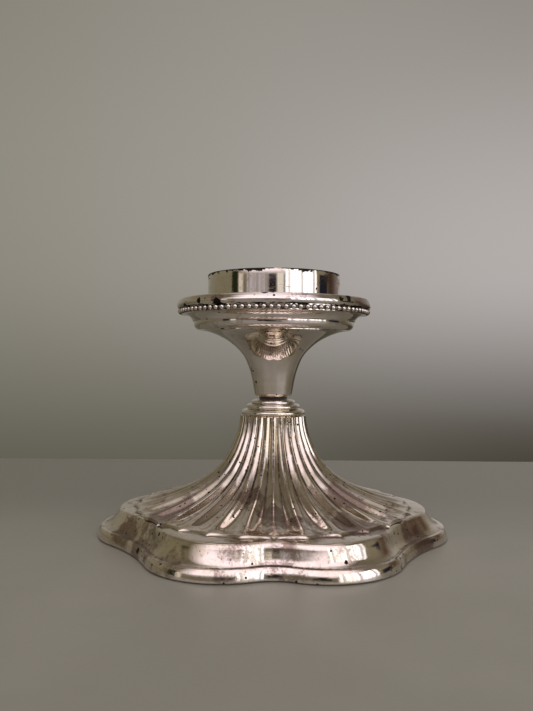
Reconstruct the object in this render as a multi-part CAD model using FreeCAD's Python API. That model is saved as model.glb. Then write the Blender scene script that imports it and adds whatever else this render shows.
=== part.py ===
import FreeCAD, Part
import math
import os

# Silver-plated candlestick for one 60 mm pillar candle.
# Lengths are in mm. +Z is up, the origin is the middle of the underside, and the long way of the foot
# runs along X. The upper part (cup, tray and stem cone) screws into a bush in the foot.

os.makedirs("parts", exist_ok=True)

Vec = FreeCAD.Vector
UP = Vec(0, 0, 1)

# ---- foot: outline at the table, four corner lobes and two end lobes ----
HALF_DEPTH = 70.9          # middle of the front and the back, which are hollow
HOLLOW_R = 22.0            # radius of that hollow
CORNER_X = 20.4            # centre of each corner lobe, along X
CORNER_R = 33.5
END_X = 48.2               # centre of each end lobe
END_R = 33.6
WAIST_R = 88.0             # shallow hollow between a corner lobe and an end lobe

# ---- foot: pressed shell ----
SHEET = 1.2                # sheet thickness
RIM_Z = 0.6                # the metal edge stops this far above the table, on the felt
BAND_TOP_Z = 5.2           # crease above the upright bottom band
LIP_Z = 13.6               # top of the rounded lip
LIP_INSET = 4.5            # how far the lip stands back in the front hollow
LIP_INSET_ENDS = 3.0       # more at the ends
LIP_INSET_LOBES = 2.0      # more at every lobe
NOSE_R = 64.1              # ring of flute ends
NOSE_Z = 14.6
NECK_Z = 56.05             # top of the fluted body
NECK_R = 15.5              # over the flutes
FLUTES = 30
STEPS_PER_FLUTE = 6
CROWN_HOLE_R = 6.2         # hole for the bush in the flat top of the shell

# ---- neck ----
COLLAR_TOP_Z = NECK_Z + 7.3
WASHER_THICK = 1.4
WASHER_R = 6.7
BUSH_R = 6.0
BUSH_FLANGE_R = 7.5
BUSH_FLANGE = 1.5
BUSH_BOTTOM_Z = NECK_Z - 9.4
SCREW_R = 4.0              # M8 screw, drawn at its outside diameter
RUNNING_GAP = 0.05         # radial clearance of the screw in its bush

# ---- upper part ----
CONE_BOTTOM_Z = COLLAR_TOP_Z + WASHER_THICK
CONE_LIP_R = 33.1
TRAY_UNDER_Z = CONE_BOTTOM_Z + 31.4
TRAY_FLOOR = 1.3
TRAY_R = 45.7              # widest part of the rolled rim
CUP_R = 31.25
CUP_WALL = 1.0
CUP_FLOOR = 1.2
WELL_R = 11.2              # shallow well in the cup's floor, for the screw's head
WELL_DEPTH = 3.3
TOP_Z = TRAY_UNDER_Z + 25.95
BEADS = 90
BEAD_R = 1.2
BEAD_RING_R = 44.1
BEAD_SEAT_R = 43.7         # inner face of the backing strip
BEAD_Z = TRAY_UNDER_Z + 8.45

# ---- underside ----
FELT = 1.0
PLATE = 0.8

SCREW_BOTTOM_Z = BUSH_BOTTOM_Z + 2.5
HEAD_R = 8.0
HEAD = 2.2
HEAD_WASHER = 0.8

TRAY_FLOOR_Z = TRAY_UNDER_Z + TRAY_FLOOR
CUP_FLOOR_Z = TRAY_FLOOR_Z + CUP_FLOOR
WELL_Z = CUP_FLOOR_Z - WELL_DEPTH


def save(shape, name):
    """Writes one named piece."""
    if shape.ShapeType == "Compound" and len(shape.Solids) == 1:
        shape = shape.Solids[0]
    if len(shape.Solids) != 1 or not shape.isValid():
        raise RuntimeError("bad piece: " + name)
    shape.exportStep(os.path.join("parts", name + ".step"))


def disc(radius, z_low, z_high, hole=0.0):
    """A round plate or tube on the Z axis."""
    body = Part.makeCylinder(radius, z_high - z_low, Vec(0, 0, z_low), UP)
    if hole > 0:
        body = body.cut(Part.makeCylinder(hole, z_high - z_low, Vec(0, 0, z_low), UP))
    return body


def turned(path):
    """Spins a closed profile round Z. The path is a list of edges in the XZ plane."""
    wire = Part.Wire(Part.__sortEdges__(path))
    solid = Part.Face(wire).revolve(Vec(0, 0, 0), UP, 360)
    return solid


def point(r, z):
    return Vec(r, 0, z)


def line(a, b):
    return Part.makeLine(point(*a), point(*b))


def arc(a, middle, b):
    return Part.Arc(point(*a), point(*middle), point(*b)).toShape()


def curve(points):
    spline = Part.BSplineCurve()
    spline.interpolate([point(*p) for p in points])
    return spline.toShape()


def chain(points):
    """Straight lines through a list of points."""
    return [line(a, b) for a, b in zip(points, points[1:])]


# ---- the foot's outline: four arcs that touch, repeated in each quarter ----
CORNER_Y = HALF_DEPTH + HOLLOW_R - math.sqrt((HOLLOW_R + CORNER_R) ** 2 - CORNER_X ** 2)


def waist_centre():
    """Centre of the hollow arc that touches a corner lobe and an end lobe from outside."""
    dx, dy = CORNER_X - END_X, CORNER_Y
    gap = math.hypot(dx, dy)
    to_end, to_corner = END_R + WAIST_R, CORNER_R + WAIST_R
    along = (to_end ** 2 - to_corner ** 2 + gap ** 2) / (2 * gap)
    off = math.sqrt(to_end ** 2 - along ** 2)
    return (END_X + (along * dx + off * dy) / gap, (along * dy - off * dx) / gap)


HOLLOW = (0.0, HALF_DEPTH + HOLLOW_R)
CORNER = (CORNER_X, CORNER_Y)
WAIST = waist_centre()
END = (END_X, 0.0)


def touching_angle(a, ra, b, rb):
    """Direction, from +Y, of the point where two circles touch."""
    t = ra / (ra + rb)
    return math.atan2(a[0] + (b[0] - a[0]) * t, a[1] + (b[1] - a[1]) * t)


TURN_1 = touching_angle(CORNER, CORNER_R, HOLLOW, HOLLOW_R)
TURN_2 = touching_angle(CORNER, CORNER_R, WAIST, WAIST_R)
TURN_3 = touching_angle(END, END_R, WAIST, WAIST_R)


def outline(angle):
    """Distance from the axis to the foot's edge, in a direction measured from +Y."""
    a = abs(math.remainder(angle, math.pi))
    if a < TURN_1:
        centre, radius, side = HOLLOW, HOLLOW_R, -1
    elif a < TURN_2:
        centre, radius, side = CORNER, CORNER_R, 1
    elif a < TURN_3:
        centre, radius, side = WAIST, WAIST_R, -1
    else:
        centre, radius, side = END, END_R, 1
    along = centre[0] * math.sin(a) + centre[1] * math.cos(a)
    off = centre[0] ** 2 + centre[1] ** 2 - along ** 2
    return along + side * math.sqrt(radius ** 2 - off)


def lip_inset(angle):
    """How far the rounded lip stands back from the foot's edge."""
    lobes = math.sin(3 * angle) ** 2
    return LIP_INSET + LIP_INSET_ENDS * math.sin(angle) ** 2 + LIP_INSET_LOBES * lobes


def closed_curve(radius_at, height_at):
    """A smooth closed curve round the axis. Every one has the same spacing, so they loft evenly."""
    count = FLUTES * STEPS_PER_FLUTE
    points = []
    for i in range(count):
        a = 2 * math.pi * i / count
        r = radius_at(a)
        points.append(Vec(r * math.sin(a), r * math.cos(a), height_at(a)))
    spline = Part.BSplineCurve()
    spline.interpolate(Points=points, PeriodicFlag=True, Parameters=[float(i) for i in range(count + 1)])
    return Part.Wire([spline.toShape()])


def skin(wires):
    """The open surface through a stack of closed curves."""
    return Part.makeLoft(wires, False, False, False, 3).Faces


def ring_face(outer, inner):
    """A flat ring between two closed curves on one level."""
    return Part.Face(outer).cut(Part.Face(inner)).Faces


def solid_of(faces):
    shell = Part.makeShell(faces)
    shell.sewShape()
    shell = Part.Shell(shell.Faces)
    solid = Part.Solid(shell)
    if solid.Volume < 0:
        solid.reverse()
    return solid


# ---- the foot's side mouldings: (plain inset, share of the lip's inset, height) ----
BAND_INSET = 1.5
BAND = [(0.5, 0, RIM_Z), (0.05, 0, 1.6), (0.0, 0, 2.6), (0.25, 0, 3.6), (0.75, 0, 4.5), (BAND_INSET, 0, BAND_TOP_Z)]
COVE = [(BAND_INSET, 0, BAND_TOP_Z), (1.2, 0.25, 5.9), (0.7, 0.55, 7.5), (0.3, 0.8, 9.7), (0.1, 0.93, 11.7)]
LIP = [(0.1, 0.93, 11.7), (0.0, 1.0, 12.7), (0.5, 1.0, 13.3), (1.3, 1.0, LIP_Z)]


def moulding(level, inward=0.0):
    """One closed curve of the foot's side, or of its inner face."""
    plain, share, z = level
    return closed_curve(lambda a: outline(a) - plain - share * lip_inset(a) - inward, lambda a: z)


# ---- the fluted body: (radius over the ridges, height, depth of the flutes) ----
BODY = [
    (NOSE_R + 0.6, LIP_Z + 0.15, 0.0),
    (NOSE_R - 0.3, NOSE_Z, 0.55),
    (61.0, 15.35, 1.05),
    (56.0, 16.6, 1.4),
    (49.5, 18.5, 1.6),
    (42.5, 21.1, 1.6),
    (35.8, 24.4, 1.5),
    (29.6, 28.5, 1.35),
    (24.4, 33.6, 1.2),
    (20.3, 39.9, 1.1),
    (17.4, 46.6, 1.0),
    (16.0, 52.0, 0.9),
    (NECK_R, NECK_Z, 0.85),
]


def meridian_normal(k):
    """Outward and upward parts of the body's normal at one level."""
    low, high = BODY[k - 1], BODY[k + 1]
    dr, dz = high[0] - low[0], high[1] - low[1]
    size = math.hypot(dr, dz)
    return dz / size, -dr / size


def body_curve(k, inward=0.0):
    """One closed curve of the fluted body, cut inward by the flutes and by the sheet."""
    ridge_r, z, depth = BODY[k]
    out, up = (1.0, 0.0) if k in (0, len(BODY) - 1) else meridian_normal(k)
    power = 2.0 - 0.9 * k / (len(BODY) - 1.0)

    def cut(a):
        return depth * (1.0 - abs(math.cos(FLUTES * a / 2.0)) ** power) + inward

    return closed_curve(lambda a: ridge_r - cut(a) * out, lambda a: z - cut(a) * up)


def foot_shell():
    """Pressed foot: upright band, hollow moulding, shelf, fluted body and a flat crown with a hole."""
    band = [moulding(level) for level in BAND]
    cove = [moulding(level) for level in COVE]
    lip = [moulding(level) for level in LIP]
    body = [body_curve(k) for k in range(len(BODY))]
    shelf = [lip[-1], body[0]]
    neck = body[-1]
    outer = skin(band) + skin(cove) + skin(lip) + skin(shelf) + skin(body)
    outer += Part.Face(band[0]).Faces + Part.Face(neck).Faces
    outside = solid_of(outer)

    # The inner faces follow the outer ones at the sheet's thickness, in fewer steps.
    low = moulding(BAND[0], SHEET)
    inner_band = [
        low,
        moulding(BAND[2], SHEET + 0.1),
        moulding((BAND_INSET, 0, BAND_TOP_Z - 0.9), SHEET + 0.5),
    ]
    inner_cove = [
        inner_band[-1],
        moulding((0.3, 0.8, 8.9), SHEET + 0.2),
        moulding((1.3, 1.0, LIP_Z - SHEET), SHEET),
    ]
    inner_body = [body_curve(k, SHEET) for k in range(1, len(BODY) - 1)]
    top = closed_curve(lambda a: NECK_R - 0.85 - SHEET, lambda a: NECK_Z - SHEET)
    inner_body.append(top)
    inner = skin(inner_band) + skin(inner_cove) + skin([inner_cove[-1], inner_body[0]]) + skin(inner_body)
    inner += Part.Face(low).Faces + Part.Face(top).Faces
    inside = solid_of(inner)
    shell = outside.cut(inside)
    return shell.cut(disc(CROWN_HOLE_R, NECK_Z - 5, NECK_Z + 1))


def plate_outline(inset, z_low, z_high):
    """A flat plate that follows the foot's outline."""
    wire = closed_curve(lambda a: outline(a) - inset, lambda a: z_low)
    return Part.Face(wire).extrude(Vec(0, 0, z_high - z_low))


def raised(base, path):
    """Profile points given as (radius, height above a level)."""
    return [(r, base + h) for r, h in path]


def neck_collar():
    """Turned collar with three rounded steps, seated on the crown."""
    base, top = NECK_Z, COLLAR_TOP_Z
    ring = raised(base, [
        (9.0, 7.3), (10.3, 6.7), (10.4, 6.0), (10.0, 5.6), (11.2, 5.45), (12.6, 4.6), (12.3, 3.4),
        (11.9, 3.05), (13.2, 2.9), (15.0, 1.8), (14.6, 0.4), (14.3, 0.0),
    ])
    steps = [arc(*ring[0:3]), line(ring[2], ring[3]), line(ring[3], ring[4]), arc(*ring[4:7])]
    steps += [line(ring[6], ring[7]), line(ring[7], ring[8]), arc(*ring[8:11]), line(ring[10], ring[11])]
    inside = chain([
        ring[-1],
        (BUSH_R + 0.1, base),
        (BUSH_R + 0.1, top - BUSH_FLANGE),
        (BUSH_FLANGE_R + 0.05, top - BUSH_FLANGE),
        (BUSH_FLANGE_R + 0.05, top),
        ring[0],
    ])
    return turned(steps + inside)


def hexagon(across_flats, z_low, z_high, hole):
    """A hexagon nut on the Z axis with its corners turned off."""
    corner = across_flats / math.sqrt(3.0)
    points = [Vec(corner * math.cos(i * math.pi / 3), corner * math.sin(i * math.pi / 3), z_low) for i in range(7)]
    body = Part.Face(Part.makePolygon(points)).extrude(Vec(0, 0, z_high - z_low))
    round_off = disc(corner * 0.97, z_low, z_high)
    return body.common(round_off).cut(disc(hole, z_low, z_high))


def threaded_bush():
    """Flanged bush through the collar and the crown. The screw of the upper part turns in it."""
    top = COLLAR_TOP_Z
    body = disc(BUSH_R, BUSH_BOTTOM_Z, top - BUSH_FLANGE / 2).fuse(disc(BUSH_FLANGE_R, top - BUSH_FLANGE, top))
    body = body.cut(disc(SCREW_R + RUNNING_GAP, BUSH_BOTTOM_Z, top))
    return body.removeSplitter()


def socket_cone():
    """Spun trumpet between the neck and the tray, with a web near its foot for the screw."""
    low, top = CONE_BOTTOM_Z, TRAY_UNDER_Z
    web_low, web_high = low + 3.0, low + 4.4
    outside = raised(low, [
        (9.0, 2.3), (9.6, 5.4), (10.2, 8.6), (11.4, 13.1), (13.8, 18.8), (17.1, 22.8), (21.4, 26.3),
        (25.8, 28.7), (30.0, 30.3), (CONE_LIP_R, 31.05),
    ])
    inside = raised(low, [
        (7.9, 4.4), (8.5, 6.4), (9.4, 10.4), (10.9, 14.8), (13.4, 20.0), (16.6, 24.0), (21.0, 27.6),
        (25.2, 29.9), (28.6, 31.4),
    ])
    edges = [
        arc((7.2, low), (8.5, low + 0.9), outside[0]),
        curve(outside),
        line(outside[-1], (CONE_LIP_R, top)),
        line((CONE_LIP_R, top), inside[-1]),
        curve(inside),
    ]
    edges += chain([
        inside[0],
        (SCREW_R + 0.3, web_high),
        (SCREW_R + 0.3, web_low),
        (6.6, web_low),
        (6.6, low),
        (7.2, low),
    ])
    return turned(edges)


def drip_tray():
    """Round tray: flat floor, stepped underside, hollow moulding and a thick rolled rim."""
    hole = WELL_R + CUP_FLOOR + 0.1
    p = raised(TRAY_UNDER_Z, [
        (hole, TRAY_FLOOR), (hole, 0.0), (34.2, 0.0), (36.7, 0.6), (37.7, 2.0), (37.75, 3.6), (38.35, 4.0),
        (39.9, 6.3), (43.0, 7.15), (43.55, 7.25), (43.6, 9.75), (45.0, 9.77), (TRAY_R, 11.2), (45.0, 12.7),
        (43.6, 13.9), (42.0, 14.2), (41.1, 13.85), (40.8, 13.1), (42.0, 10.6), (41.4, 8.4), (37.6, 6.4),
        (36.5, 4.2), (36.0, 2.3), (33.6, TRAY_FLOOR),
    ])
    edges = chain(p[0:3]) + [arc(*p[2:5])] + chain(p[4:7]) + [arc(*p[6:9])] + chain(p[8:12])
    edges += [arc(*p[k:k + 3]) for k in (11, 13, 15, 17, 19, 21)]
    edges.append(line(p[23], p[0]))
    return turned(edges)


def bead_border():
    """One strip of beads on a thin backing band, soldered under the tray's rim."""
    strip = disc(BEAD_RING_R + 0.1, BEAD_Z - 0.75, BEAD_Z + 0.75, BEAD_SEAT_R)
    beads = []
    for i in range(BEADS):
        a = 2 * math.pi * i / BEADS
        beads.append(Part.makeSphere(BEAD_R, Vec(BEAD_RING_R * math.cos(a), BEAD_RING_R * math.sin(a), BEAD_Z)))
    border = strip.multiFuse(beads)
    return border.cut(disc(BEAD_SEAT_R, BEAD_Z - 3, BEAD_Z + 3))


def candle_cup():
    """Drawn cup: a thin upright wall with a soft lip, a flat floor and a well for the screw's head."""
    inner = CUP_R - CUP_WALL
    low = TRAY_FLOOR_Z
    well_outer = WELL_R + CUP_FLOOR
    well_low = WELL_Z - CUP_FLOOR
    edges = chain([
        (WELL_R, CUP_FLOOR_Z),
        (WELL_R, WELL_Z),
        (SCREW_R + 0.3, WELL_Z),
        (SCREW_R + 0.3, well_low),
        (well_outer, well_low),
        (well_outer, low),
        (CUP_R - 1.4, low),
    ])
    edges.append(arc((CUP_R - 1.4, low), (CUP_R - 0.4, low + 0.4), (CUP_R, low + 1.4)))
    edges.append(line((CUP_R, low + 1.4), (CUP_R, TOP_Z - 0.5)))
    edges.append(arc((CUP_R, TOP_Z - 0.5), (CUP_R - 0.5, TOP_Z), (inner, TOP_Z - 0.5)))
    edges.append(line((inner, TOP_Z - 0.5), (inner, CUP_FLOOR_Z)))
    edges.append(line((inner, CUP_FLOOR_Z), (WELL_R, CUP_FLOOR_Z)))
    return turned(edges)


def clamp_screw():
    """Long screw with a slotted low head. It clamps the upper part and screws into the foot."""
    head_low = WELL_Z + HEAD_WASHER
    body = disc(SCREW_R, SCREW_BOTTOM_Z, head_low + 1.0).fuse(disc(HEAD_R, head_low, head_low + HEAD))
    body = body.removeSplitter()
    tip = Part.makeCone(SCREW_R - 1.0, SCREW_R + 0.2, 1.2, Vec(0, 0, SCREW_BOTTOM_Z), UP)
    body = body.cut(disc(SCREW_R + 1, SCREW_BOTTOM_Z, SCREW_BOTTOM_Z + 1.2).cut(tip))
    slot = Part.makeBox(2 * HEAD_R + 2, 1.6, 1.3, Vec(-HEAD_R - 1, -0.8, head_low + HEAD - 1.2))
    return body.cut(slot)


save(foot_shell(), "foot_shell")
save(plate_outline(3.4, FELT, FELT + PLATE), "base_plate")
save(plate_outline(2.2, 0.0, FELT), "felt_pad")
save(neck_collar(), "neck_collar")
save(threaded_bush(), "threaded_bush")
save(disc(11.0, NECK_Z - SHEET - 1.5, NECK_Z - SHEET, BUSH_R + 0.1), "crown_washer")
save(hexagon(17.0, BUSH_BOTTOM_Z + 1.2, NECK_Z - SHEET - 1.5, BUSH_R), "bush_nut")
save(disc(WASHER_R, COLLAR_TOP_Z, CONE_BOTTOM_Z, SCREW_R + 0.05), "neck_washer")
save(socket_cone(), "socket_cone")
save(hexagon(11.0, CONE_BOTTOM_Z + 0.2, CONE_BOTTOM_Z + 3.0, SCREW_R), "stem_nut")
save(drip_tray(), "drip_tray")
save(bead_border(), "bead_border")
save(candle_cup(), "candle_cup")
save(disc(WELL_R - 0.2, WELL_Z, WELL_Z + HEAD_WASHER, SCREW_R + 0.3), "head_washer")
save(clamp_screw(), "clamp_screw")
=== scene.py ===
import math

import bmesh
import bpy
import numpy as np
from mathutils import Matrix, Vector


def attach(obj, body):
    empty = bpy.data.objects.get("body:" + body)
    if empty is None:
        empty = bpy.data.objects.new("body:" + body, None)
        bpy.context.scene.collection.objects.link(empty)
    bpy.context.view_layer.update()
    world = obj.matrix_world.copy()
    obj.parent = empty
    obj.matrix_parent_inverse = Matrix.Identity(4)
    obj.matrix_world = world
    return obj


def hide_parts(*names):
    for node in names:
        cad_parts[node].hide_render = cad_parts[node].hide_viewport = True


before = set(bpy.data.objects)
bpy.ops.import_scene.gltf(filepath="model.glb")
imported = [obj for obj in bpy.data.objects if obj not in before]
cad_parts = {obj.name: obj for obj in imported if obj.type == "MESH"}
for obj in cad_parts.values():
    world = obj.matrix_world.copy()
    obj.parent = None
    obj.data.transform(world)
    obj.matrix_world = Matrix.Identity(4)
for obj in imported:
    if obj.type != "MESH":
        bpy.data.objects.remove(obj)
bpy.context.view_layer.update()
MM = 0.001
TURN = 2 * math.pi

# ---------------------------------------------------------------- shapes shared by the foot's mouldings (mm)
HALF_DEPTH = 70.9      # from the axis to the hollow in the middle of the front edge
HOLLOW_R = 22.0        # radius of that hollow
CORNER_X = 20.4        # centre of a corner lobe
CORNER_R = 33.5
END_X = 48.2           # centre of an end lobe
END_R = 33.6
WAIST_R = 88.0         # shallow hollow between a corner lobe and an end lobe
SHEET = 1.2            # thickness of the metal
LIP_Z = 13.6
NOSE_R = 64.1          # circle on which the flutes end
NECK_Z = 56.05         # top of the fluted body
NECK_R = 15.5
FLUTES = 30
COLUMNS = 20 * FLUTES  # columns of the foot's mesh

CORNER_Y = HALF_DEPTH + HOLLOW_R - math.sqrt((HOLLOW_R + CORNER_R) ** 2 - CORNER_X ** 2)


def waist_centre():
    """Centre of the arc that touches both the corner lobe and the end lobe from outside."""
    dx, dy = CORNER_X - END_X, CORNER_Y
    gap = math.hypot(dx, dy)
    to_end, to_corner = END_R + WAIST_R, CORNER_R + WAIST_R
    along = (to_end ** 2 - to_corner ** 2 + gap ** 2) / (2 * gap)
    off = math.sqrt(to_end ** 2 - along ** 2)
    return (END_X + (along * dx + off * dy) / gap, (along * dy - off * dx) / gap)


HOLLOW = (0.0, HALF_DEPTH + HOLLOW_R)
CORNER = (CORNER_X, CORNER_Y)
WAIST = waist_centre()
END = (END_X, 0.0)


def touching_angle(a, ra, b, rb):
    """Direction, from +Y, of the point where two arcs of the outline touch."""
    t = ra / (ra + rb)
    return math.atan2(a[0] + (b[0] - a[0]) * t, a[1] + (b[1] - a[1]) * t)


TURN_1 = touching_angle(CORNER, CORNER_R, HOLLOW, HOLLOW_R)
TURN_2 = touching_angle(CORNER, CORNER_R, WAIST, WAIST_R)
TURN_3 = touching_angle(END, END_R, WAIST, WAIST_R)


def outline(angle):
    """Distance from the axis to the foot's edge, in a direction measured from +Y."""
    a = abs(math.remainder(angle, math.pi))
    if a < TURN_1:
        centre, radius, side = HOLLOW, HOLLOW_R, -1
    elif a < TURN_2:
        centre, radius, side = CORNER, CORNER_R, 1
    elif a < TURN_3:
        centre, radius, side = WAIST, WAIST_R, -1
    else:
        centre, radius, side = END, END_R, 1
    along = centre[0] * math.sin(a) + centre[1] * math.cos(a)
    off = centre[0] ** 2 + centre[1] ** 2 - along ** 2
    return along + side * math.sqrt(radius ** 2 - off)


def lip_inset(angle):
    """How far the lip stands in from the foot's edge: less in the hollows than on the lobes."""
    return 4.5 + 3.0 * math.sin(angle) ** 2 + 2.0 * math.sin(3 * angle) ** 2


ANGLES = np.arange(COLUMNS) * TURN / COLUMNS
SIN_A, COS_A = np.sin(ANGLES), np.cos(ANGLES)
OUTLINE = np.array([outline(a) for a in ANGLES])
INSET = np.array([lip_inset(a) for a in ANGLES])


# ---------------------------------------------------------------- curve helpers
def smooth_path(points, steps):
    """A soft curve through the points (Catmull-Rom), with the same number of steps in each span."""
    p = np.array(points, float)
    ends = np.vstack([2 * p[0] - p[1], p, 2 * p[-1] - p[-2]])
    out = []
    for k in range(len(p) - 1):
        a, b, c, d = ends[k:k + 4]
        for i in range(steps):
            t = i / steps
            out.append(0.5 * (2 * b + (c - a) * t + (2 * a - 5 * b + 4 * c - d) * t * t
                              + (3 * b - a - 3 * c + d) * t ** 3))
    out.append(p[-1])
    return [tuple(q) for q in out]


def arc(a, m, b, steps):
    """Points on the circle from a through m to b."""
    ax, ay, mx, my, bx, by = *a, *m, *b
    d = 2 * (ax * (my - by) + mx * (by - ay) + bx * (ay - my))
    sa, sm, sb = ax * ax + ay * ay, mx * mx + my * my, bx * bx + by * by
    cx = (sa * (my - by) + sm * (by - ay) + sb * (ay - my)) / d
    cy = (sa * (bx - mx) + sm * (ax - bx) + sb * (mx - ax)) / d
    r = math.hypot(ax - cx, ay - cy)
    t0 = math.atan2(ay - cy, ax - cx)
    tm = (math.atan2(my - cy, mx - cx) - t0) % TURN
    t1 = (math.atan2(by - cy, bx - cx) - t0) % TURN
    if tm > t1:
        t1 -= TURN
    turns = [t0 + t1 * i / steps for i in range(steps + 1)]
    return [(cx + r * math.cos(t), cy + r * math.sin(t)) for t in turns]


def path(*stretches):
    """Joins stretches of points, leaving out repeated ones."""
    out = []
    for stretch in stretches:
        for p in stretch:
            if not out or math.hypot(p[0] - out[-1][0], p[1] - out[-1][1]) > 1e-6:
                out.append(p)
    if math.hypot(out[0][0] - out[-1][0], out[0][1] - out[-1][1]) < 1e-6:
        out.pop()
    return out


def raised(base, points):
    """Profile points given as (radius, height above a level)."""
    return [(r, base + h) for r, h in points]


# ---------------------------------------------------------------- mesh helpers
def crevice_attribute(mesh, reach):
    """Stores how hollow (+) or how sharp (-) the surface is at each vertex, smoothed over its neighbours."""
    n = len(mesh.vertices)
    co = np.empty(n * 3, np.float32)
    mesh.vertices.foreach_get("co", co)
    co = co.reshape(n, 3).astype(float)
    normal = np.empty(n * 3, np.float32)
    mesh.vertices.foreach_get("normal", normal)
    normal = normal.reshape(n, 3).astype(float)
    edges = np.empty(len(mesh.edges) * 2, np.int32)
    mesh.edges.foreach_get("vertices", edges)
    a, b = edges.reshape(-1, 2).T
    d = co[b] - co[a]
    size = np.maximum((d ** 2).sum(1), 1e-10)
    value, count = np.zeros(n), np.zeros(n)
    np.add.at(value, a, (normal[a] * d).sum(1) / size)
    np.add.at(value, b, -(normal[b] * d).sum(1) / size)
    np.add.at(count, a, 1)
    np.add.at(count, b, 1)
    value /= np.maximum(count, 1)
    value = np.clip(value * reach, -1, 1)
    for _ in range(3):
        total = value.copy()
        np.add.at(total, a, value[b])
        np.add.at(total, b, value[a])
        value = total / (count + 1)
    layer = mesh.attributes.new("crevice", "FLOAT", "POINT")
    layer.data.foreach_set("value", np.clip(value * 2.0, -1, 1).astype(np.float32))


def make_piece(name, verts, faces, body, node, slot_name, material, sharp=38, reach=0.0012):
    """A mesh in millimetres as a piece that rides on a body and replaces its CAD node."""
    mesh = bpy.data.meshes.new(name)
    mesh.from_pydata([tuple(v) for v in np.asarray(verts) * MM], [], faces)
    bm = bmesh.new()
    bm.from_mesh(mesh)
    bmesh.ops.recalc_face_normals(bm, faces=bm.faces)
    bm.to_mesh(mesh)
    bm.free()
    mesh.shade_smooth()
    mesh.set_sharp_from_angle(angle=math.radians(sharp))
    crevice_attribute(mesh, reach)
    obj = bpy.data.objects.new(name, mesh)
    bpy.context.scene.collection.objects.link(obj)
    mesh.materials.append(material)
    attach(obj, body)
    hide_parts(node)
    return obj


def bridge(rings, loop):
    """Faces between rings that have the same number of points."""
    n = len(rings[0])
    faces = []
    for k in range(len(rings) if loop else len(rings) - 1):
        a, b = k * n, ((k + 1) % len(rings)) * n
        faces += [(a + j, a + (j + 1) % n, b + (j + 1) % n, b + j) for j in range(n)]
    return faces


def circle(radius, z, angles):
    """Points at one height. The radius is one number or one for each angle."""
    return np.stack([radius * np.cos(angles), radius * np.sin(angles), np.full(len(angles), z)], 1)


def lathe(name, profile, body, node, slot_name, material, segments=288, **more):
    """A piece turned from a closed profile of (radius, height)."""
    angles = np.arange(segments) * TURN / segments
    rings = [circle(r, z, angles) for r, z in profile]
    verts, faces = np.concatenate(rings), bridge(rings, True)
    return make_piece(name, verts, faces, body, node, slot_name, material, **more)


# ---------------------------------------------------------------- materials
class Nodes:
    """Short names for building one material's nodes."""

    def __init__(self, name):
        self.material = bpy.data.materials.new(name)
        self.material.use_nodes = True
        self.tree = self.material.node_tree
        self.shader = self.tree.nodes["Principled BSDF"]

    def add(self, kind, inputs=(), **settings):
        node = self.tree.nodes.new(kind)
        for key, value in settings.items():
            setattr(node, key, value)
        for key, value in dict(inputs).items():
            if isinstance(value, bpy.types.NodeSocket):
                self.tree.links.new(value, node.inputs[key])
            else:
                node.inputs[key].default_value = value
        return node

    def noise(self, place, scale, detail=4.0, rough=0.55, warp=0.0):
        inputs = {"Vector": place, "Scale": scale, "Detail": detail, "Roughness": rough, "Distortion": warp}
        return self.add("ShaderNodeTexNoise", inputs).outputs["Fac"]

    def ramp(self, value, low, high, to_low=0.0, to_high=1.0):
        inputs = {"Value": value, "From Min": low, "From Max": high, "To Min": to_low, "To Max": to_high}
        return self.add("ShaderNodeMapRange", inputs, interpolation_type="SMOOTHSTEP").outputs["Result"]

    def math(self, operation, a, b=None, clamp=False):
        node = self.tree.nodes.new("ShaderNodeMath")
        node.operation, node.use_clamp = operation, clamp
        for k, value in enumerate((a, b)):
            if isinstance(value, bpy.types.NodeSocket):
                self.tree.links.new(value, node.inputs[k])
            elif value is not None:
                node.inputs[k].default_value = value
        return node.outputs[0]

    def mix(self, factor, a, b):
        node = self.tree.nodes.new("ShaderNodeMix")
        node.data_type = "RGBA"
        for key, value in ((0, factor), (6, a), (7, b)):
            if isinstance(value, bpy.types.NodeSocket):
                self.tree.links.new(value, node.inputs[key])
            else:
                node.inputs[key].default_value = (*value, 1.0) if key else value
        return node.outputs[2]

    def place(self, stretch=(1, 1, 1)):
        where = self.add("ShaderNodeTexCoord").outputs["Object"]
        return self.add("ShaderNodeMapping", {"Vector": where, "Scale": stretch}).outputs["Vector"]

    def set(self, **inputs):
        for key, value in inputs.items():
            socket = self.shader.inputs[key.replace("_", " ")]
            if isinstance(value, bpy.types.NodeSocket):
                self.tree.links.new(value, socket)
            else:
                socket.default_value = value


def near_places(n, where, level, places, gain):
    """Adds to a level round each of the places, given as (x, y, z, reach) in millimetres."""
    for x, y, z, reach in places:
        to_place = {0: where, 1: (x * MM, y * MM, z * MM)}
        away = n.add("ShaderNodeVectorMath", to_place, operation="DISTANCE").outputs["Value"]
        level = n.math("ADD", level, n.ramp(away, reach * MM, reach * MM * 0.3, 0.0, gain))
    return level


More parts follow.
